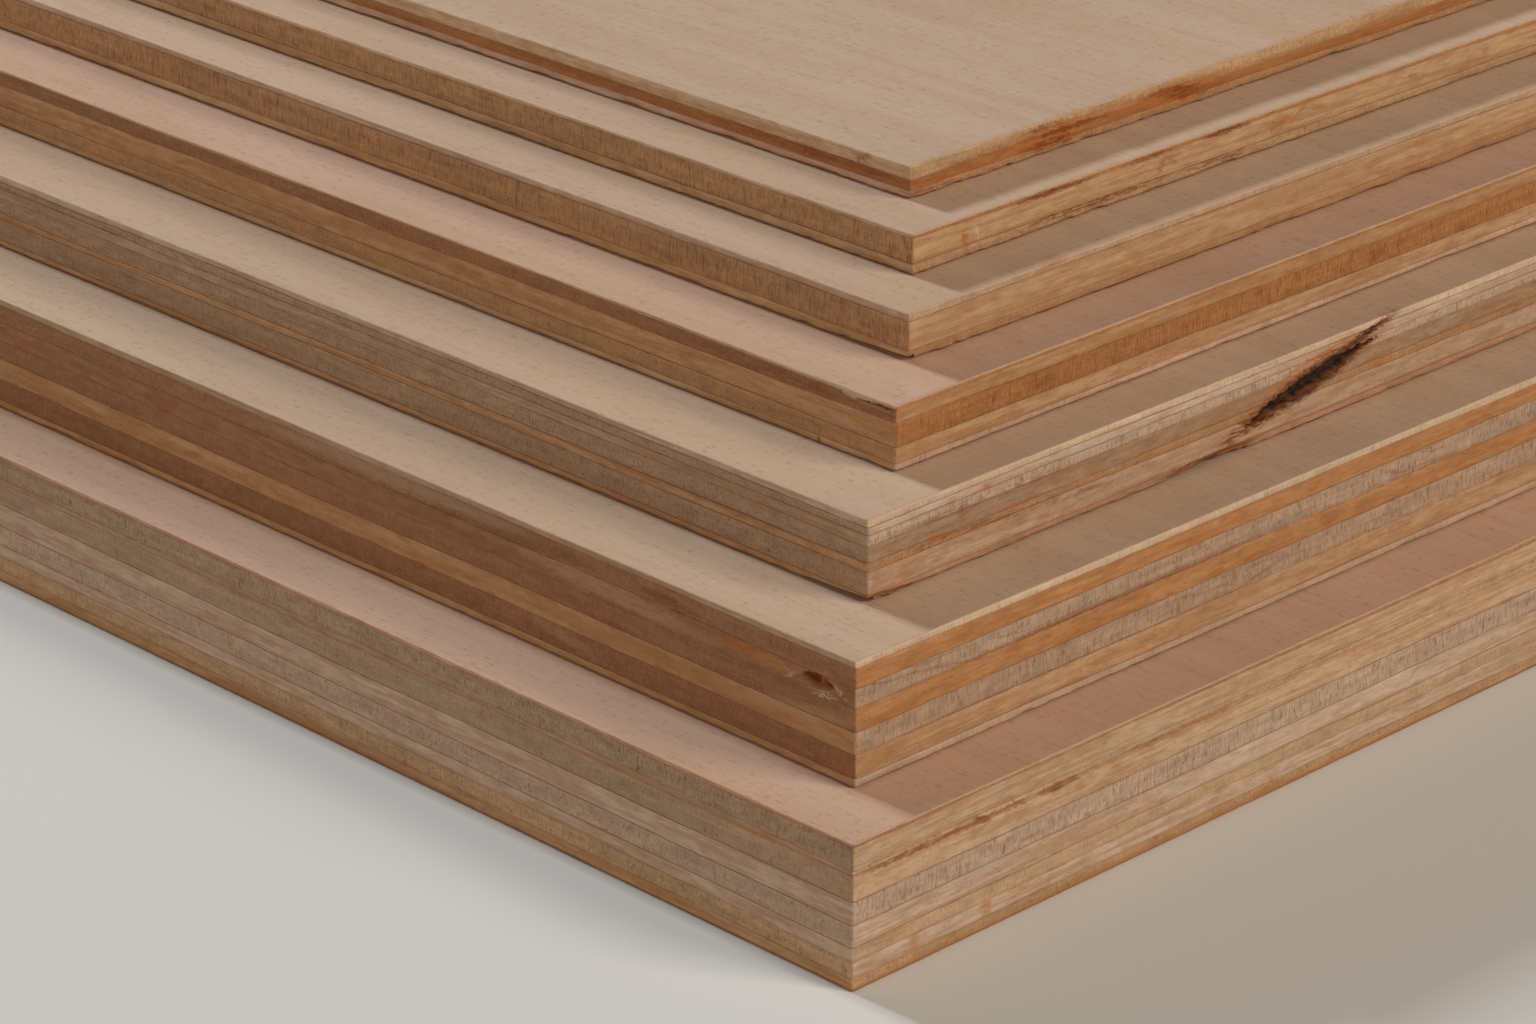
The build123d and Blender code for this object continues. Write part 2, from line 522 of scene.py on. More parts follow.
    def broad_face(self, wood: Timber) -> tuple[Socket, Socket]:
        """Peeled face: soft figure, fine fibres and the short dark ends of the rays."""
        finish = self.finish
        wander = wood.figure(60, 22, 20, 1.0)
        figure = wood.noise(wood.stretch(120, 7, 9) + 1.5 * wander, 3.0, 0.55)
        streak = wood.noise(wood.stretch(13, 1.0, 3.0) + 0.6 * wander, 2.0, 0.6)
        fibre = wood.figure(5.0, 0.22, 1.0, 2.0)
        place = wood.stretch(2.1, 0.42, 1.5) + 0.7 * fibre
        cells = wood.add("TexVoronoi", {"feature": "F1"}, {"Vector": place, "Scale": 1.0})
        chance = Socket(wood, cells.link.node.outputs["Color"])
        seen = wood.add("SeparateColor", {}, {0: chance}, 0).step(0.35, 0.75)
        ray = cells.step(0.40, 0.12) * seen
        warm = tuple(a * b for a, b in zip(finish.face.linear, (0.86, 0.76, 0.66)))
        colour = wood.mix(finish.face.linear, warm, 0.4 * figure.step(0.35, 0.70))
        colour = wood.mix(colour, warm, 0.35 * streak.step(0.50, 0.72))
        colour = colour * (0.92 + 0.16 * fibre)
        colour = wood.mix(colour, RUSSET.linear, 0.50 * ray)
        return colour, 0.35 * fibre

    @staticmethod
    def glue_line(wood: Timber, colour: Socket, glue: Socket, uneven: Socket,
                  edge: Socket) -> Socket:
        """Thin dark line where two veneers meet, broken here and there."""
        width = 0.04 + 0.16 * uneven
        mask = (width - glue).step(-0.06, 0.06) * (0.15 + 0.85 * uneven.step(0.36, 0.6))
        return wood.mix(colour, UMBER.linear, 0.34 * mask * edge)

    def worn_arris(self, wood: Timber, colour: Socket, uneven: Socket, edge: Socket) -> Socket:
        """Paler raised fibres along the upper arris of a face veneer."""
        if not self.worn:
            return colour
        below = self.top - wood.height
        mask = (below - 0.9 * self.worn * uneven).step(0.35 * self.worn, 0.0) * edge
        pale = tuple(min(1.0, 1.15 * c) for c in self.finish.face.linear)
        return wood.mix(colour, pale, 0.65 * mask)

    def paint_contact_shadow(self, wood: Timber, colour: Socket, uneven: Socket, edge: Socket) -> Socket:
        """Painted shadow: a dark line along the lower arris of a back veneer, where the sheet meets
        the one below.
        """
        if not self.contact_shade:
            return colour
        mask = (wood.height - self.bottom - 0.10 * uneven).step(0.50, 0.26) * edge
        # Colour of the painted shadow, a darkened umber
        deep = tuple(0.75 * c for c in UMBER.linear)
        return wood.mix(colour, deep, self.contact_shade * mask)

    def stained(self, wood: Timber, colour: Socket) -> Socket:
        """Lays each stain over the colour, as an ellipsoid with a ragged outline."""
        if not self.stains:
            return colour
        place = {"Vector": wood.spot * (1.1, 1.1, 2.2), "Scale": 1.0, "Detail": 2.0, "Roughness": 0.7}
        shake = wood.add("TexNoise", {}, place, 1) - (0.5, 0.5, 0.5)
        gaps = wood.noise(wood.spot * (1 / 2.6, 1 / 2.6, 1 / 0.42), 2.0, 0.6).step(0.54, 0.40)
        for stain in self.stains:
            away = wood.add("VectorMath", {"operation": "LENGTH"},
                            {0: self.within(wood, stain, shake)}, 1)
            mask = away.step(1.25, 0.50) * (stain.strength - stain.strength * stain.streaks * gaps)
            colour = wood.mix(colour, stain.tone.linear, mask)
        return colour

    def within(self, wood: Timber, stain: Stain, shake: Socket) -> Socket:
        """Coordinates that are one unit from the stain's middle at its outline.

        Args:
            wood: Node tree of the veneer.
            stain: The stain, with its height from the floor.
            shake: Uneven offsets, which make the outline ragged along the edge and upwards.

        Returns:
            The moved, turned and scaled coordinates.
        """
        x, y = self.corner
        ragged = 4 * stain.ragged
        tilt = math.radians(stain.tilt)
        if stain.edge is SHORT:
            middle = (x, y + stain.run, stain.height)
            size = (stain.depth, stain.reach, stain.rise)
            moved = wood.spot + shake * (0.0, ragged, 0.4 * ragged)
            turn = (tilt, 0.0, 0.0)
        else:
            middle = (x - stain.run, y, stain.height)
            size = (stain.reach, stain.depth, stain.rise)
            moved = wood.spot + shake * (ragged, 0.0, 0.4 * ragged)
            turn = (0.0, -tilt, 0.0)
        if not stain.tilt:
            return (moved - middle) * tuple(1 / s for s in size)
        values = {"Vector": moved, "Location": middle, "Rotation": turn, "Scale": size}
        return wood.add("Mapping", {"vector_type": "TEXTURE"}, values)


@dataclass(frozen=True)
class Veneer:
    """One veneer of a sheet, with its place read from the frame."""

    node: str
    finish: Finish
    grain: Grain
    first: bool
    last: bool
    topmost: bool
    wear: Wear
    underside: float
    hollows: tuple[Hollow, ...]
    stains: tuple[Stain, ...]
    glue_wave: float = 0.15
    ledge: float = 14.0

    @property
    def box(self) -> tuple[np.ndarray, np.ndarray]:
        """Lowest and highest corner of the node, in millimetres."""
        low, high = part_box(self.node)
        return np.array(low) / MM, np.array(high) / MM

    @property
    def slot(self) -> str:
        """The record's slot for this kind of veneer."""
        if self.first or self.last:
            return "surface_veneer"
        return "cross_veneer" if self.grain is Grain.CROSS else "long_veneer"

    @property
    def seed(self) -> int:
        """A whole number of its own for each veneer."""
        return int(round(self.box[0][2] * 10)) + 7

    def rows(self, thickness: float) -> np.ndarray:
        """Heights of the vertex rows above the veneer's lower side, closer at its two sides."""
        glued = np.array([0.0, 0.07, 0.2])
        worn = np.array([0.0, 0.05, 0.12, 0.22, 0.34])
        lower = worn if self.last else glued
        upper = thickness - (worn if self.first else glued)
        pitch = 0.28 if self.hollows else 0.6
        gap = upper[-1] - lower[-1]
        middle = np.linspace(lower[-1], upper[-1], max(2, int(gap / pitch) + 2)) if gap > 0.1 else []
        rows = np.unique(np.round(np.concatenate([lower, middle, upper]), 3))
        rows = rows[(rows >= 0) & (rows <= thickness)]
        keep = np.concatenate([[True], np.diff(rows) > 0.03])
        keep[-1] = True
        return rows[keep]

    def glue_waver(self, run: np.ndarray, level: float, outside: bool) -> np.ndarray:
        """Rise and fall of a glue line, the same for both veneers that meet there.

        It is uneven relief with bumps 34 and 11 mm apart, from the level's own row of the table.
        """
        if outside:
            return np.zeros_like(run)
        wide = ripple(run / 34, level * 3.0, 11)
        return self.glue_wave * (wide + 0.4 * ripple(run / 11, level * 3.0, 12))

    @staticmethod
    def rounding(off: np.ndarray, size: np.ndarray, depth: np.ndarray) -> np.ndarray:
        """Rounding of an arris: a quarter of an ellipse, size high and depth deep, at off from it."""
        part = np.clip(1 - off / size, 0.0, 1.0)
        return depth * (1 - np.sqrt(1 - part * part))

    def inset(self, run: np.ndarray, height: np.ndarray, thickness: float) -> np.ndarray:
        """How far the band stands back from the frame's edge.

        It adds a slow wander, a shallow groove at each glue line, and the worn arrises.
        """
        seed = self.seed
        wander = 0.025 + 0.02 * ripple(run / 26, seed * 0.37, 21)
        away = np.minimum(height, thickness - height)
        total = wander + 0.045 * np.exp(-(away / 0.1) ** 2)
        uneven = 0.7 + 0.3 * ripple(run / 5, seed * 0.5, 22) + 0.25 * ripple(run / 1.3, seed * 0.5, 23)
        if self.first:
            own = np.where(run > 0, self.wear.upper_short, self.wear.upper_long)
            own = np.minimum(own * uneven, 0.85 * thickness)
            total = total + self.rounding(thickness - height, own, 0.9 * own)
        if self.last:
            size = np.minimum(self.wear.lower * uneven, 0.85 * thickness)
            depth = self.wear.undercut * (0.8 + 0.2 * uneven)
            total = total + depth * np.clip(1 - height / size, 0.0, 1.0) ** 1.5
        return total

    def hollowed(self, run: np.ndarray, height: np.ndarray) -> tuple[np.ndarray, np.ndarray]:
        """Depth of the hollows in the band, and how deep that is as a share of the deepest.

        A hollow is full inside its outline, an ellipse or a lens, and eases to nothing over its
        wall. Its outline is moved by uneven relief.
        """
        depth = np.zeros(np.broadcast(run, height).shape)
        share = np.zeros_like(depth)
        for index, hollow in enumerate(self.hollows):
            across = hollow.edge.value * run - hollow.run
            up = height - hollow.height
            across = across + 2 * hollow.ragged * ripple(run / 1.1, height / 0.5, 31 + index)
            up = up + hollow.ragged * ripple(run / 0.7, height / 0.6, 41 + index)
            tilt = math.radians(hollow.tilt)
            p = across * math.cos(tilt) + up * math.sin(tilt)
            q = up * math.cos(tilt) - across * math.sin(tilt)
            if hollow.pointed:
                rise = hollow.rise * np.maximum(1e-3, 1 - (p / hollow.reach) ** 2)
                inside = np.where(abs(p) < hollow.reach, 1 - abs(q) / rise, -1.0)
            else:
                inside = 1 - np.hypot(p / hollow.reach, q / hollow.rise)
            here = ease(inside / hollow.wall)
            here = here * (0.82 + 0.18 * ripple(run / 0.9, height / 0.7, 51 + index))
            here = np.where(np.sign(run) == hollow.edge.value, here, 0.0)
            depth = np.maximum(depth, hollow.depth * here)
            share = np.maximum(share, here)
        return depth, share

    def rings(self, upper: bool) -> tuple[float, ...]:
        """How far in from the edge the rings of a cap lie, close together where a ledge shows."""
        if upper and self.first:
            return 0.25, 0.8, 2.0, 4.5, 9.0, self.ledge
        return 1.5, self.ledge

    def skin(self) -> dict[str, np.ndarray]:
        """Works out the veneer's closed skin.

        The band is a grid of stations round the edge by rows up the thickness. Each cap goes on
        with rings, which are the band's last row drawn in towards the middle, and ends in one
        flat many-sided face.

        Returns:
            The stations, the row heights, the vertices in metres, and the glue and hollow values.
        """
        low, high = self.box
        outline = Outline((low[0], low[1]), (high[0], high[1]))
        details = [(h.edge.value * h.run, h.reach + 1, 0.35) for h in self.hollows]
        run = outline.stations(details)
        thickness = high[2] - low[2]
        heights = self.rows(thickness)[:, None]
        x, y, nx, ny = outline.walk(run)
        centre, half = (low + high) / 2, (high - low) / 2

        inset = self.inset(run[None], heights, thickness)
        depth, share = self.hollowed(run[None], heights + low[2] - self.underside)
        band_x = x - inset * (x - centre[0]) / half[0] - depth * nx
        band_y = y - inset * (y - centre[1]) / half[1] - depth * ny
        part = heights / thickness
        waver = ((1 - part) * self.glue_waver(run, low[2], self.last)
                 + part * self.glue_waver(run, high[2], self.first))
        band_z = low[2] + heights + waver
        if self.last and self.wear.lift:
            rise = self.wear.lift * ease(1 - abs(run) / self.wear.lift_reach) * (run < 1.0)
            band_z = band_z + rise * (1 - part)
        below = NO_GLUE if self.last else heights
        above = NO_GLUE if self.first else thickness - heights
        glue = np.broadcast_to(np.minimum(below, above), band_x.shape)

        blocks = [np.stack([band_x, band_y, band_z], -1)]
        layers = {"glue": [glue], "hollow": [share]}
        for upper in (True, False):
            row = -1 if upper else 0
            offsets = self.rings(upper)
            ring_x, ring_y, ring_z = band_x[row], band_y[row], band_z[row]
            level = high[2] if upper else low[2]
            for offset in offsets:
                shrink = 1 - offset / half
                flat = ease(np.array(offset / offsets[-1]))
                blocks.append(np.stack([centre[0] + (ring_x - centre[0]) * shrink[0],
                                        centre[1] + (ring_y - centre[1]) * shrink[1],
                                        ring_z + (level - ring_z) * flat], -1)[None])
                layers["glue"].append(np.full((1, len(run)), NO_GLUE))
                layers["hollow"].append(np.zeros((1, len(run))))
        grid = np.concatenate(blocks)
        return {
            "run": run, "rows": heights[:, 0], "grid": grid * MM,
            "glue": np.concatenate(layers["glue"]), "hollow": np.concatenate(layers["hollow"]),
        }

    def faces(self, skin: dict[str, np.ndarray]) -> tuple[np.ndarray, list[list[int]]]:
        """Quads of the band and of both caps, and the two flat faces that close the skin.

        Each quad joins a station to the next one and a row to the next. The rows of the upper
        cap's rings follow the band's last row, and those of the lower cap follow its first row
        with their order turned round, so that every face points outwards.
        """
        columns = len(skin["run"])
        total = len(skin["grid"])
        rows = len(skin["rows"])
        upper = len(self.rings(upper=True))
        steps = [(j, j + 1) for j in range(rows - 1 + upper)]
        lower_rows = [0, *range(rows + upper, total)]
        steps += [(b, a) for a, b in zip(lower_rows, lower_rows[1:])]
        low_row, high_row = (np.array(s)[:, None] * columns for s in zip(*steps))
        this = np.arange(columns)[None]
        following = (this + 1) % columns
        quads = np.stack([low_row + this, low_row + following, high_row + following,
                          high_row + this], -1)
        top_ring = (rows + upper - 1) * columns + np.arange(columns)
        bottom_ring = (total - 1) * columns + np.arange(columns)[::-1]
        return quads, [top_ring.tolist(), bottom_ring.tolist()]

    def atlas(self, skin: dict[str, np.ndarray], quads: np.ndarray,
              rings: list[list[int]]) -> np.ndarray:
        """Flat layout of the skin for its painted maps.

        The band is cut into equal lengths that are laid in rows, one above the other, and so is
        the ledge round an upper face. Hidden caps share a small corner. The topmost face keeps
        half of the map, because all of it shows.
        """
        run, rows = skin["run"], len(skin["rows"])
        upper = len(self.rings(upper=True))
        thickness = skin["rows"][-1]
        part = skin["rows"] / thickness
        band_share = 0.46 if self.first else 0.94
        uv = np.zeros((*quads.shape, 2))
        uv[:rows - 1] = self.laid_in_rows(run, part, 1 - band_share - 0.01, band_share, thickness)
        flat = skin["grid"].reshape(-1, 3)[:, :2] / MM
        low, high = self.box
        plan = (flat - low[:2]) / (high[:2] - low[:2])
        tiny = plan * (0.06, 0.035) + 0.002
        whole = plan * (0.998, 0.498) + 0.001
        uv[rows - 1:] = tiny[quads[rows - 1:]]
        ring_uv = [tiny[rings[0]], tiny[rings[1]] + (0.1, 0.0)]
        if self.topmost:
            uv[rows - 1:rows - 1 + upper] = whole[quads[rows - 1:rows - 1 + upper]]
            ring_uv = [whole[rings[0]], tiny[rings[1]] * 0 + 0.505]
            uv[rows - 1 + upper:] = 0.505
        elif self.first:
            offsets = np.array([0, *self.rings(upper=True)]) / self.ledge
            uv[rows - 1:rows - 1 + upper] = self.laid_in_rows(run, offsets, 0.05, 0.46, self.ledge)
        return np.concatenate([uv.reshape(-1, 2), *ring_uv])

    @staticmethod
    def laid_in_rows(run: np.ndarray, part: np.ndarray, base: float, share: float,
                     tall: float) -> np.ndarray:
        """Cuts a strip that goes round the edge into equal lengths, one row of the map for each.

        Args:
            run: Stations round the edge.
            part: Rows of vertices, as shares of the strip's height.
            base: Where the first row starts on the map.
            share: How much of the map's height the rows fill.
            tall: Real height of the strip.

        Returns:
            Places on the map of the corners of every quad of the strip.
        """
        gutter, side = 0.08, 2.0
        length = 2 * -run[0]
        following = np.append(run[1:], -run[0])
        count = max(2, round(math.sqrt((1 - 2 * gutter) * share * length / tall)))
        piece = length / count
        strip = np.clip(np.floor(((run + following) / 2 - run[0]) / piece), 0, count - 1)
        corners = np.stack([run, following, following, run], -1)
        u = (corners - run[0] - strip[:, None] * piece + side) / (piece + 2 * side)
        up = np.stack([part[:-1], part[:-1], part[1:], part[1:]], -1)[:, None, :]
        v = base + share / count * (strip[None, :, None] + gutter + (1 - 2 * gutter) * up)
        return np.stack(np.broadcast_arrays(u[None], v), -1)

    def build(self) -> bpy.types.Object:
        """Makes the piece, dresses it and lets it stand for its node."""
        skin = self.skin()
        quads, rings = self.faces(skin)
        mesh = bpy.data.meshes.new(f"{self.node}_wood")
        mesh.from_pydata(skin["grid"].reshape(-1, 3), [], quads.reshape(-1, 4).tolist() + rings)
        for layer in ("glue", "hollow"):
            values = mesh.attributes.new(layer, "FLOAT", "POINT")
            values.data.foreach_set("value", skin[layer].astype(np.float32).ravel())
        atlas = mesh.uv_layers.new(name="OFBake")
        atlas.uv.foreach_set("vector", self.atlas(skin, quads, rings).astype(np.float32).ravel())
        mesh.shade_smooth()
        mesh.set_sharp_from_angle(angle=math.radians(48))
        piece = bpy.data.objects.new(f"{self.node}_wood", mesh)
        bpy.context.scene.collection.objects.link(piece)
        low, high = self.box
        shader = VeneerShader(
            name=f"{self.node}_finish", finish=self.finish, grain=self.grain, seed=self.seed,
            corner=(high[0], low[1]), bottom=low[2], top=high[2],
            # Only the back veneer, which rests on the sheet below, gets the painted contact shadow
            contact_shade=self.wear.contact_shade if self.last else 0.0,
            worn=self.wear.upper_long if self.first else 0.0,
            stains=tuple(s for s in self.stains if self.reaches(s)), hollows=self.hollows,
        )
        mesh.materials.append(shader.build())
        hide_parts(self.node)
        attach(piece, "root")
        LOG.info("%s: %d vertices, %d faces", piece.name, len(mesh.vertices), len(mesh.polygons))
        return piece

    def reaches(self, stain: Stain) -> bool:
        """Whether a stain, which is placed from the floor here, touches this veneer."""
        low, high = self.box
        tall = stain.rise + stain.reach * abs(math.sin(math.radians(stain.tilt))) + 0.6
        return low[2] - tall < stain.height < high[2] + tall


@dataclass(frozen=True)
class Sheet:
    """One sheet of plywood: the finishes of its veneers from the face down, and its marks."""

    name: str
    finishes: tuple[Finish, ...]
    wear: Wear = Wear()
    hollows: tuple[Hollow, ...] = ()
    stains: tuple[Stain, ...] = ()

    def node(self, number: int) -> str:
        """Name of a veneer's node, counted from 1 at the face."""
        if number == 1:
            return f"{self.name}_face_veneer"
        if number == len(self.finishes):
            return f"{self.name}_back_veneer"
        return f"{self.name}_ply_{number}_{'cross' if number % 2 == 0 else 'long'}"

    def build(self, topmost: bool) -> list[bpy.types.Object]:
        """Makes every veneer of the sheet.

        Args:
            topmost: Whether no other sheet lies on this one.

        Returns:
            The pieces, from the face down.
        """
        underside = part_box(self.node(len(self.finishes)))[0].z / MM
        pieces = []
        for number, finish in enumerate(self.finishes, start=1):
            node = self.node(number)
            low, high = (corner.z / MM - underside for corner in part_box(node))
            raised = tuple(replace(s, height=s.height + underside) for s in self.stains)
            veneer = Veneer(
                node=node, finish=finish,
                grain=Grain.CROSS if number % 2 == 0 else Grain.LONG,
                first=number == 1, last=number == len(self.finishes), topmost=topmost,
                wear=self.wear, underside=underside,
                hollows=tuple(h for h in self.hollows if self.touches(h, low, high)),
                stains=raised,
            )
            pieces.append(veneer.build())
        return pieces

    @staticmethod
    def touches(hollow: Hollow, low: float, high: float) -> bool:
        """Whether a hollow reaches into the veneer between two heights."""
        tall = hollow.rise + hollow.reach * abs(math.sin(math.radians(hollow.tilt)))
        return low - tall < hollow.height < high + tall


@dataclass(frozen=True)
class Studio:
    """Plain pale floor, soft light and the camera, in metres, degrees and watts."""

    eye: tuple[float, float, float] = (0.7330, -0.59515, 0.3141)
    azimuth: float = 45.594
    elevation: float = 23.305
    lens: float = 121.3
    paper: tuple[float, float, float] = (0.72, 0.72, 0.72)
    flat: float = 4.8
    rim: float = 7.5
    key_travel: float = 1.0
    key_height: float = 36.5
    key_distance: float = 3.6
    key_width: float = 0.45
    key_power: float = 96.0
    fill_width: float = 1.2
    fill_power: float = 66.0
    front_power: float = 22.0
    glow: float = 0.12
    warm: tuple[float, float, float] = (1.0, 0.88, 0.73)
    cool: tuple[float, float, float] = (0.87, 0.96, 1.0)

    def build(self) -> None:
        """Sets up everything that isn't the stack."""
        self.camera()
        self.floor()
        self.lights()

    def camera(self) -> None:
        """Long lens that looks down on the near corner."""
        data = bpy.data.cameras.new("camera")
        data.lens = self.lens
        data.sensor_width = 36.0
        camera = bpy.data.objects.new("camera", data)
        turn, dip = math.radians(self.azimuth), math.radians(self.elevation)
        ahead = Vector((-math.sin(turn) * math.cos(dip), math.cos(turn) * math.cos(dip),
                        -math.sin(dip)))
        camera.location = self.eye
        camera.rotation_euler = ahead.to_track_quat("-Z", "Y").to_euler()
        bpy.context.scene.collection.objects.link(camera)
        bpy.context.scene.camera = camera

    def floor(self) -> None:
        """Round floor whose rim rises: its height grows with the square of the way past the flat."""
        inner, outer = np.linspace(0.02, self.flat, 12), np.linspace(self.flat + 0.2, self.rim, 22)
        radius = np.concatenate([inner, outer])[:, None]
        angle = np.linspace(0, 2 * math.pi, 96, endpoint=False)[None]
        height = 0.22 * np.maximum(0, radius - self.flat) ** 2 + 0 * angle
        grid = np.stack([radius * np.cos(angle), radius * np.sin(angle), height], -1)
        rings, spokes = grid.shape[:2]
        this = np.arange(spokes)
        start = (np.arange(rings - 1) * spokes)[:, None]
        following = (this + 1) % spokes
        quads = np.stack([start + this, start + spokes + this, start + spokes + following,
                          start + following], -1)
        mesh = bpy.data.meshes.new("floor")
        mesh.from_pydata(grid.reshape(-1, 3), [], quads.reshape(-1, 4).tolist() + [this.tolist()])
        mesh.shade_smooth()
        floor = bpy.data.objects.new("floor", mesh)
        bpy.context.scene.collection.objects.link(floor)
        material = bpy.data.materials.new("floor_paper")
        nodes = NodeGraph(material)
        values = {"Base Color": self.paper, "Roughness": 0.9, "Specular IOR Level": 0.1}
        surface = nodes.add("BsdfPrincipled", {}, values)
        nodes.add("OutputMaterial", {}, {"Surface": surface})
        mesh.materials.append(material)

    def lights(self) -> None:
        """A soft key from behind on the left, soft fills from the right and front, and a glow."""
        turn, height = math.radians(self.key_travel), math.radians(self.key_height)
        towards = Vector((-math.cos(turn) * math.cos(height), -math.sin(turn) * math.cos(height),
                          math.sin(height)))
        key = Vector((0.0, -0.12, 0.04)) + self.key_distance * towards
        self.soft_box("key", key, self.key_width, self.key_power, self.cool)
        self.soft_box("fill", Vector((3.0, 0.9, 1.9)), self.fill_width, self.fill_power, self.warm)
        self.soft_box("front", Vector((0.9, -3.2, 1.3)), self.fill_width, self.front_power, self.warm)
        world = bpy.data.worlds.new("studio")
        world.use_nodes = True
        glow = world.node_tree.nodes["Background"]
        glow.inputs["Color"].default_value = (*self.warm, 1.0)
        glow.inputs["Strength"].default_value = self.glow
        bpy.context.scene.world = world
        bpy.context.scene.view_settings.view_transform = "Standard"

    @staticmethod
    def soft_box(name: str, place: Vector, width: float, energy: float,
                 colour: tuple[float, float, float]) -> None:
        """Adds a square lamp that is turned to the pile and hidden from the camera."""
        data = bpy.data.lights.new(name, "AREA")
        data.size = width
        data.energy = energy
        data.color = colour
        lamp = bpy.data.objects.new(name, data)
        lamp.location = place
        lamp.rotation_euler = (Vector((0.0, 0.0, 0.04)) - place).to_track_quat("-Z", "Y").to_euler()
        lamp.visible_camera = False
        bpy.context.scene.collection.objects.link(lamp)


# The sheets from the floor up, with the finish of each veneer from its face down
SHEET_21MM = Sheet(
    "sheet_21mm",
    (
        Finish(CLAY, TAN, BLUSH, specks=0.7),
        Finish(WHEAT, STONE, rays=1.0, bands=0.3, specks=0.6, fuzz=0.6),
        Finish(STONE, WHEAT, specks=0.9, bands=0.8),
        Finish(WHEAT, STONE, specks=1.0, bands=0.35),
        Finish(ASH, PALE, rays=1.0, bands=0.4),
        Finish(PALE, ASH, specks=1.0, bands=0.5),
        Finish(ASH, WHEAT, rays=0.5, bands=0.4),
        Finish(PALE, SAND, specks=1.0, bands=0.5),
        Finish(TAN, SAND, specks=0.9),
    ),
    wear=Wear(lower=0.2, undercut=0.25),
    stains=(
        Stain(SHORT, 38.2, 16.1, 4.8, 0.55, UMBER, 0.95, ragged=0.7, streaks=0.4),
        Stain(SHORT, 29.5, 16.2, 3.6, 0.40, UMBER, 0.75, ragged=0.7, streaks=0.6),
        Stain(SHORT, 23.4, 16.3, 1.9, 0.55, UMBER, 0.95, -20.0, 0.5, 0.2),
        Stain(SHORT, 16.0, 16.2, 16.0, 0.60, COPPER, 0.70, ragged=0.9, streaks=0.4),
        Stain(SHORT, 14.0, 16.3, 14.0, 0.45, UMBER, 0.60, ragged=0.9, streaks=0.9),
        Stain(SHORT, 62.0, 16.2, 22.0, 0.30, UMBER, 0.40, ragged=0.9, streaks=0.9),
        Stain(SHORT, 52.0, 16.3, 2.0, 0.35, UMBER, 0.5, 15.0),
        Stain(SHORT, 55.8, 16.1, 1.3, 0.5, UMBER, 0.65),
        Stain(SHORT, 66.0, 16.2, 6.0, 0.35, COPPER, 0.4),
        Stain(SHORT, 42.0, 14.6, 1.2, 0.9, AMBER, 0.8),
        Stain(SHORT, 21.8, 14.5, 0.8, 0.8, AMBER, 0.7),
        Stain(SHORT, 24.4, 3.2, 1.2, 1.4, AMBER, 0.8),
        Stain(SHORT, 11.2, 3.2, 0.8, 1.4, AMBER, 0.7),
        Stain(SHORT, 80.5, 0.9, 4.0, 0.7, COPPER, 0.6),
        Stain(SHORT, 60.0, 0.3, 75.0, 0.7, COPPER, 0.75, ragged=0.6, streaks=0.4),
        Stain(SHORT, 64.0, 16.2, 45.0, 0.45, COPPER, 0.50, ragged=0.8, streaks=0.5),
        Stain(SHORT, 13.0, 20.3, 9.0, 0.4, COPPER, 0.45),
        Stain(SHORT, 33.0, 10.6, 2.5, 0.35, COPPER, 0.5),
        Stain(SHORT, 6.5, 6.0, 5.5, 0.25, COPPER, 0.55),
        Stain(LONG, 14.0, 16.5, 15.0, 0.5, COPPER, 0.55),
        Stain(LONG, 46.0, 16.4, 12.0, 0.4, COPPER, 0.45),
        Stain(LONG, 1.2, 14.5, 1.1, 0.8, AMBER, 0.6),
        Stain(LONG, 1.0, 9.5, 1.0, 1.2, AMBER, 0.5),
    ),
)
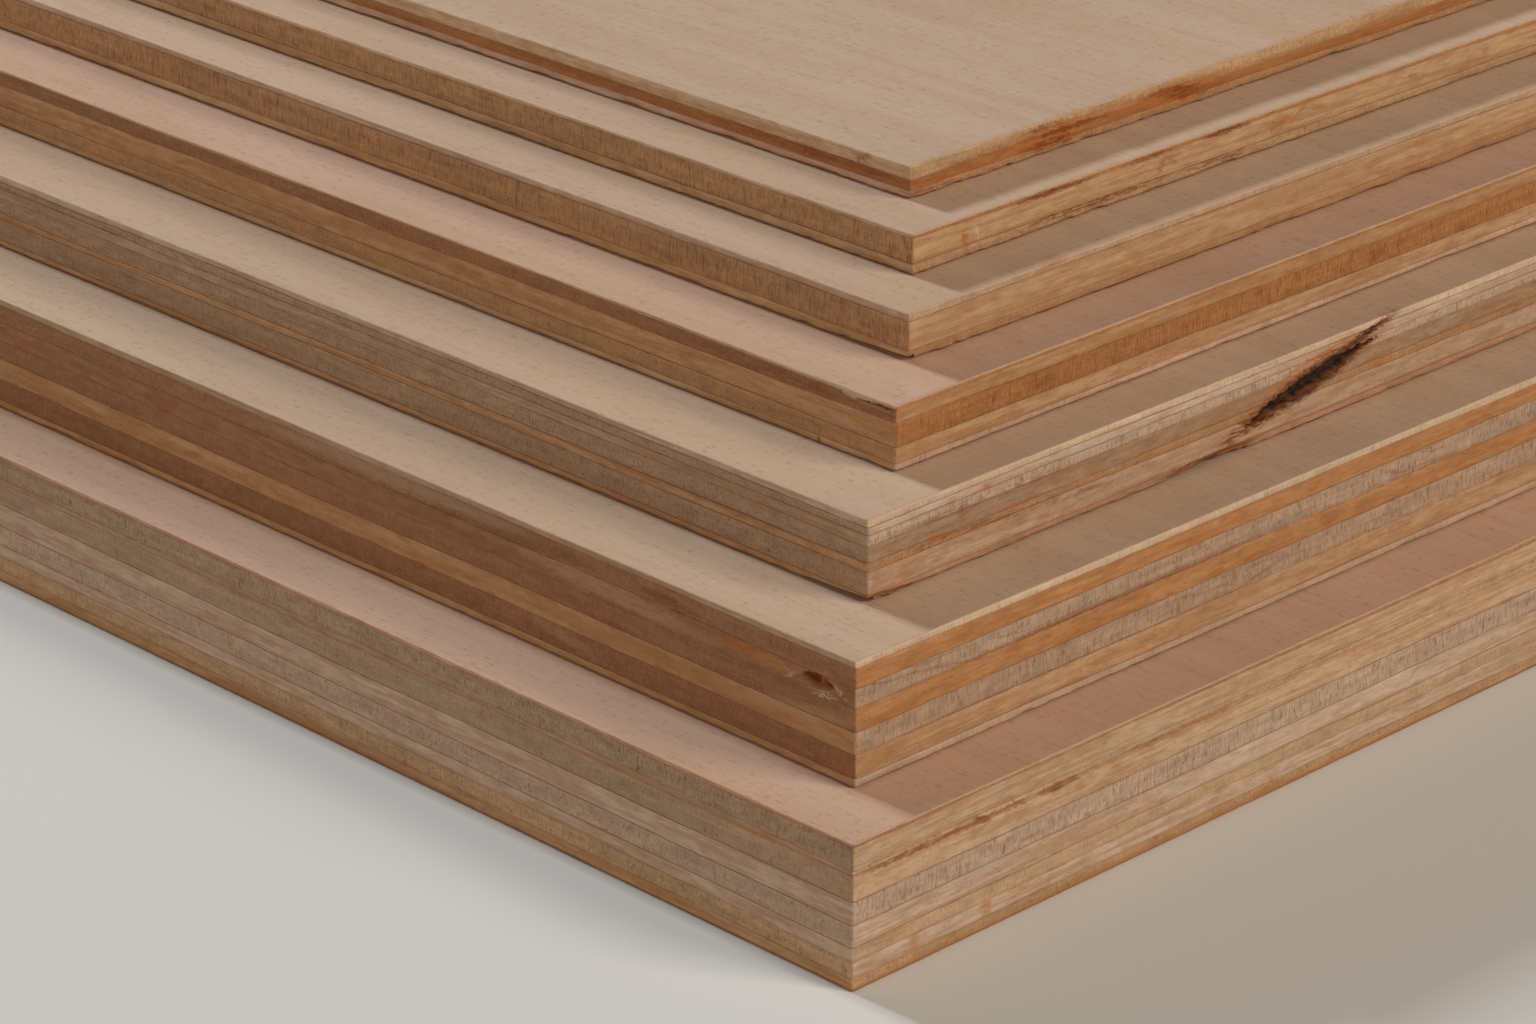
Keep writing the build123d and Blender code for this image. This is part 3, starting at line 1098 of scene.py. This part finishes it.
SHEET_18MM = Sheet(
    "sheet_18mm",
    (
        Finish(STONE, CREAM, PALE, fuzz=0.7),
        Finish(AMBER, RUSSET, specks=0.9, bands=0.8),
        Finish(RUSSET, ASH, rays=1.0, arcs=0.8, bands=0.9),
        Finish(AMBER, RUSSET, specks=0.9, bands=0.8),
        Finish(TAN, ASH, rays=1.0, arcs=0.6, bands=1.0),
        Finish(SAND, RUSSET, specks=0.8, bands=0.6),
        Finish(TAN, PALE, rays=0.5, fuzz=0.5),
    ),
    hollows=(
        Hollow(LONG, 7.2, 12.9, 3.5, 1.2, 2.0, ragged=0.12, wall=0.28, rim=AMBER,
               deep=UMBER),
    ),
    stains=(
        Stain(LONG, 8.0, 12.9, 5.0, 1.7, COPPER, 0.40, ragged=0.8),
        Stain(LONG, 2.9, 12.7, 1.3, 0.22, CREAM, 0.6, -35.0, 0.7, 0.3),
        Stain(LONG, 5.6, 11.4, 2.8, 0.20, CREAM, 0.55, 6.0, 0.9, 0.5),
        Stain(LONG, 11.8, 12.4, 1.2, 0.25, CREAM, 0.4, 35.0, 1.0, 0.4),
        Stain(LONG, 13.0, 13.2, 1.1, 0.20, CREAM, 0.3, -25.0, 1.0, 0.4),
        Stain(LONG, 15.0, 13.0, 3.0, 1.2, COPPER, 0.7, ragged=1.0),
        Stain(LONG, 20.0, 13.2, 6.0, 1.0, RESIN, 0.6, ragged=1.2, streaks=0.7),
        Stain(LONG, 46.0, 13.0, 20.0, 1.5, CLAY, 0.55, -2.0, 1.2, 0.4),
        Stain(LONG, 90.0, 16.0, 30.0, 1.3, STONE, 0.60, 0.0, 1.2, 0.4),
        Stain(LONG, 12.0, 7.6, 14.0, 1.2, TAN, 0.60, 8.0, 1.2, 0.4),
        Stain(LONG, 34.0, 15.2, 6.0, 0.9, UMBER, 0.60, -4.0, 1.0),
        Stain(LONG, 60.0, 15.0, 12.0, 0.9, UMBER, 0.40, 3.0, 0.9),
        Stain(LONG, 78.0, 14.5, 7.0, 0.8, UMBER, 0.35, 6.0, 0.9),
        Stain(LONG, 50.0, 9.0, 14.0, 0.9, UMBER, 0.35, -7.0, 0.9),
        Stain(LONG, 55.0, 3.5, 9.0, 1.0, CLAY, 0.40, -8.0, 0.9),
        Stain(SHORT, 55.0, 11.5, 38.0, 0.45, RUSSET, 0.85, ragged=0.6, streaks=0.4),
        Stain(SHORT, 45.0, 11.3, 22.0, 0.18, UMBER, 0.55, ragged=0.4, streaks=0.3),
        Stain(SHORT, 40.0, 4.85, 36.0, 0.12, UMBER, 0.60, ragged=0.2, streaks=0.3),
        Stain(SHORT, 16.0, 12.2, 8.0, 0.3, UMBER, 0.40, -9.0, 0.3),
        Stain(SHORT, 4.0, 12.0, 3.6, 0.9, STONE, 0.5),
        Stain(SHORT, 30.0, 15.6, 7.0, 0.7, COPPER, 0.4, ragged=0.9),
        Stain(SHORT, 6.5, 7.8, 6.0, 0.25, COPPER, 0.5),
        Stain(SHORT, 78.0, 5.6, 6.0, 0.3, UMBER, 0.35, 10.0, 0.3),
        Stain(SHORT, 22.0, 2.0, 30.0, 0.3, COPPER, 0.35),
    ),
)
SHEET_12MM = Sheet(
    "sheet_12mm",
    (
        Finish(ASH, CREAM, PALE, bands=0.4),
        Finish(PALE, STONE, specks=1.0, bands=0.3),
        Finish(STONE, PALE, rays=1.0, bands=0.4),
        Finish(STONE, STONE, specks=1.0, bands=0.8),
        Finish(TAN, TAN, rays=0.8, arcs=0.8),
        Finish(ASH, STONE, specks=1.0, bands=0.6),
        Finish(TAN, CLAY),
    ),
    wear=Wear(lift=0.75, lift_reach=14.0, lower=0.55, undercut=1.8, contact_shade=0.95),
    hollows=(
        Hollow(SHORT, 88.0, 6.4, 14.5, 1.5, 1.5, tilt=11.6, pointed=True, ragged=0.3,
               rim=UMBER),
        Hollow(SHORT, 67.0, 0.0, 9.5, 0.9, 3.5, pointed=True, ragged=0.08, rim=UMBER),
    ),
    stains=(
        Stain(SHORT, 86.0, 6.4, 19.0, 2.7, COPPER, 0.80, 12.0, 1.5, 0.7),
        Stain(SHORT, 88.0, 9.3, 10.0, 0.8, RESIN, 0.70, 10.0, 1.2, 0.7),
        Stain(SHORT, 87.5, 6.7, 13.0, 2.1, UMBER, 0.90, 12.5, 1.4, 0.4),
        Stain(SHORT, 88.5, 6.6, 11.5, 2.0, BARK, 0.97, 12.5, 0.9, 0.1),
        Stain(SHORT, 100.5, 10.5, 6.5, 0.75, UMBER, 0.95, 12.0, 0.9, 0.3),
        Stain(SHORT, 99.5, 10.3, 4.0, 0.4, BARK, 0.8, 12.0, 0.7, 0.3),
        Stain(SHORT, 73.5, 3.4, 5.5, 1.3, UMBER, 0.85, 20.0, 1.6, 0.9),
        Stain(SHORT, 78.5, 4.4, 4.0, 1.2, BARK, 0.8, 20.0, 1.6, 0.8),
        Stain(SHORT, 67.0, 1.0, 11.0, 0.7, UMBER, 0.9, 1.0, 0.7, 0.3),
        Stain(SHORT, 12.8, 5.7, 1.8, 0.8, RESIN, 0.75),
        Stain(SHORT, 28.0, 5.7, 3.4, 0.6, RESIN, 0.6),
        Stain(SHORT, 15.5, 9.9, 1.2, 0.7, RESIN, 0.5),
        Stain(SHORT, 22.3, 10.0, 1.0, 0.6, RESIN, 0.5),
        Stain(SHORT, 6.5, 2.6, 1.2, 1.2, AMBER, 0.7),
        Stain(SHORT, 28.0, 4.6, 24.0, 0.5, UMBER, 0.45, -3.0, 0.9, 0.9),
        Stain(SHORT, 22.0, 8.4, 20.0, 0.6, UMBER, 0.45, ragged=0.9, streaks=0.9),
        # Painted shade in the gap under the lifted corner of the back veneer
        Stain(SHORT, 5.0, 0.7, 8.0, 0.35, UMBER, 0.8, -4.0, 0.3, 0.1),
        Stain(SHORT, 60.0, 5.0, 12.0, 0.9, AMBER, 0.35, -2.0, 0.9),
        Stain(SHORT, 103.0, 5.6, 4.0, 1.2, RESIN, 0.35),
        Stain(LONG, 30.0, 5.6, 20.0, 0.5, UMBER, 0.35),
    ),
)
SHEET_9_5MM = Sheet(
    "sheet_9_5mm",
    (
        Finish(SAND, AMBER, BLUSH),
        Finish(TAN, RUSSET, bands=0.6, specks=0.8),
        Finish(TAN, COPPER, rays=1.0, specks=0.8),
        Finish(SAND, TAN, specks=0.8, bands=0.5),
        Finish(SAND, BLUSH, rays=0.6),
    ),
    hollows=(Hollow(LONG, 4.4, 8.5, 3.9, 0.22, 0.7, pointed=True, ragged=0.08, rim=SAND,
                    deep=UMBER),),
    stains=(
        Stain(LONG, 6.8, 8.8, 3.2, 0.60, PALE, 0.95, 3.0, 0.7, 0.2),
        Stain(LONG, 9.6, 9.1, 1.6, 0.4, PALE, 0.8, ragged=0.7, streaks=0.2),
        Stain(LONG, 2.0, 8.75, 2.0, 0.20, UMBER, 0.9, ragged=0.3, streaks=0.1),
        Stain(LONG, 14.2, 0.5, 0.3, 0.7, UMBER, 0.85, ragged=0.1),
        Stain(LONG, 18.0, 7.9, 24.0, 0.9, UMBER, 0.40, ragged=0.9, streaks=0.9),
        Stain(LONG, 80.0, 8.6, 5.0, 0.6, COPPER, 0.5),
        Stain(SHORT, 2.6, 5.3, 1.6, 1.5, COPPER, 0.6),
        Stain(SHORT, 28.0, 5.2, 3.4, 1.4, UMBER, 0.35, -12.0),
        Stain(SHORT, 98.0, 4.9, 2.2, 1.0, UMBER, 0.4),
        Stain(SHORT, 52.0, 1.7, 10.0, 0.35, RESIN, 0.5, ragged=0.8),
        Stain(SHORT, 36.0, 6.8, 24.0, 0.25, UMBER, 0.35),
    ),
)
SHEET_7MM = Sheet(
    "sheet_7mm",
    (
        Finish(ASH, WHEAT, PALE),
        Finish(SAND, TAN, rays=1.0, bands=0.25),
        Finish(SAND, TAN),
    ),
    wear=Wear(lift=0.6, lift_reach=20.0, contact_shade=0.9),
    stains=(
        Stain(SHORT, 27.5, 6.5, 3.6, 0.5, COPPER, 0.5, 5.0),
        Stain(SHORT, 64.0, 5.9, 9.0, 0.3, COPPER, 0.45),
        Stain(SHORT, 17.0, 4.9, 1.2, 1.2, RESIN, 0.25),
        Stain(SHORT, 12.0, 4.8, 0.9, 1.0, RESIN, 0.2),
        Stain(SHORT, 107.0, 4.8, 1.6, 0.8, RESIN, 0.5),
    ),
)
SHEET_6MM = Sheet(
    "sheet_6mm",
    (
        Finish(WHEAT, AMBER, PALE, fuzz=0.5),
        Finish(SAND, TAN, rays=1.0, bands=0.35, flecks=0.4),
        Finish(SAND, SAND, specks=0.9),
    ),
    stains=(
        Stain(SHORT, 60.0, 5.3, 55.0, 0.20, COPPER, 0.80, ragged=0.4, streaks=0.3),
        Stain(SHORT, 28.0, 5.2, 9.0, 0.38, UMBER, 0.90, ragged=0.7, streaks=0.4),
        Stain(SHORT, 47.5, 5.3, 5.5, 0.40, UMBER, 0.75, ragged=0.7, streaks=0.5),
        Stain(SHORT, 64.0, 5.2, 5.5, 0.45, UMBER, 0.95, ragged=0.7, streaks=0.3),
        Stain(SHORT, 10.2, 2.6, 0.7, 1.6, RESIN, 0.85, 15.0, 0.5),
        Stain(SHORT, 12.6, 3.0, 0.4, 1.4, CREAM, 0.8, 20.0, 0.5),
        Stain(SHORT, 50.3, 3.4, 1.9, 0.45, COPPER, 0.95, 55.0, 0.8, 0.2),
        Stain(SHORT, 52.4, 3.6, 1.5, 0.35, COPPER, 0.9, -40.0, 0.8, 0.2),
        Stain(SHORT, 75.5, 3.5, 2.6, 0.85, COPPER, 0.95, 10.0, 1.2, 0.4),
        Stain(SHORT, 79.8, 4.0, 2.2, 0.35, COPPER, 0.9, 35.0, 0.8, 0.2),
        Stain(SHORT, 84.0, 4.0, 3.0, 0.5, COPPER, 0.7, -10.0, 1.0),
        Stain(SHORT, 36.0, 1.4, 17.0, 0.50, UMBER, 0.75, ragged=0.9, streaks=0.9),
        Stain(SHORT, 62.0, 1.3, 8.0, 0.45, UMBER, 0.60, ragged=0.9, streaks=0.9),
        Stain(SHORT, 106.0, 3.6, 1.2, 0.6, COPPER, 0.8),
    ),
)
SHEET_5MM = Sheet(
    "sheet_5mm",
    (
        Finish(WHEAT, SAND, PALE, fuzz=0.9),
        Finish(COPPER, COPPER, flecks=0.3, bands=0.9),
        Finish(BLUSH, TAN, specks=0.9),
    ),
    wear=Wear(upper_long=0.45, upper_short=0.9, contact_shade=0.4),
    stains=(
        Stain(SHORT, 40.0, 3.3, 32.0, 0.9, RESIN, 0.55, ragged=1.2, streaks=0.5),
        Stain(SHORT, 28.0, 2.6, 7.5, 1.9, RESIN, 0.75, ragged=1.4, streaks=0.4),
        Stain(SHORT, 26.8, 4.0, 5.5, 0.5, UMBER, 0.60, ragged=1.0, streaks=0.7),
        Stain(SHORT, 31.0, 2.9, 9.0, 0.45, UMBER, 0.90, ragged=0.8, streaks=0.4),
        Stain(SHORT, 28.6, 1.5, 6.0, 0.8, UMBER, 0.80, ragged=1.0, streaks=0.6),
        Stain(SHORT, 14.0, 3.0, 8.0, 0.4, UMBER, 0.35, ragged=0.8),
        Stain(SHORT, 55.0, 2.6, 9.0, 1.8, RESIN, 0.75, ragged=1.4, streaks=0.4),
        Stain(SHORT, 51.5, 3.4, 5.0, 0.6, UMBER, 0.60, ragged=1.0, streaks=0.6),
        Stain(SHORT, 55.8, 2.6, 4.5, 1.1, UMBER, 0.80, ragged=1.2, streaks=0.5),
        Stain(SHORT, 61.0, 1.8, 6.0, 0.6, UMBER, 0.55, ragged=1.0, streaks=0.6),
        Stain(SHORT, 78.0, 2.6, 16.0, 0.8, COPPER, 0.6, ragged=1.0),
        Stain(SHORT, 103.0, 2.8, 9.0, 1.2, COPPER, 0.7, ragged=1.0),
        Stain(SHORT, 4.0, 0.9, 5.0, 0.35, UMBER, 0.5, ragged=0.4),
        Stain(LONG, 20.0, 2.4, 24.0, 0.7, UMBER, 0.6, ragged=0.9),
        Stain(LONG, 9.0, 4.0, 1.6, 0.6, UMBER, 0.6, 30.0, 0.9),
        Stain(LONG, 66.0, 2.5, 22.0, 0.7, UMBER, 0.35, ragged=0.6),
    ),
)
PILE = (SHEET_21MM, SHEET_18MM, SHEET_12MM, SHEET_9_5MM, SHEET_7MM, SHEET_6MM, SHEET_5MM)


def main() -> None:
    """Loads the frame, sets up the studio and dresses the sheets from the floor up."""
    logging.basicConfig(level=logging.INFO, format="%(name)s %(message)s")
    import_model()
    Studio().build()
    for sheet in PILE:
        pieces = sheet.build(topmost=sheet is PILE[-1])
        LOG.info("%s dressed with %d veneers", sheet.name, len(pieces))


if __name__ == "__main__":
    main()
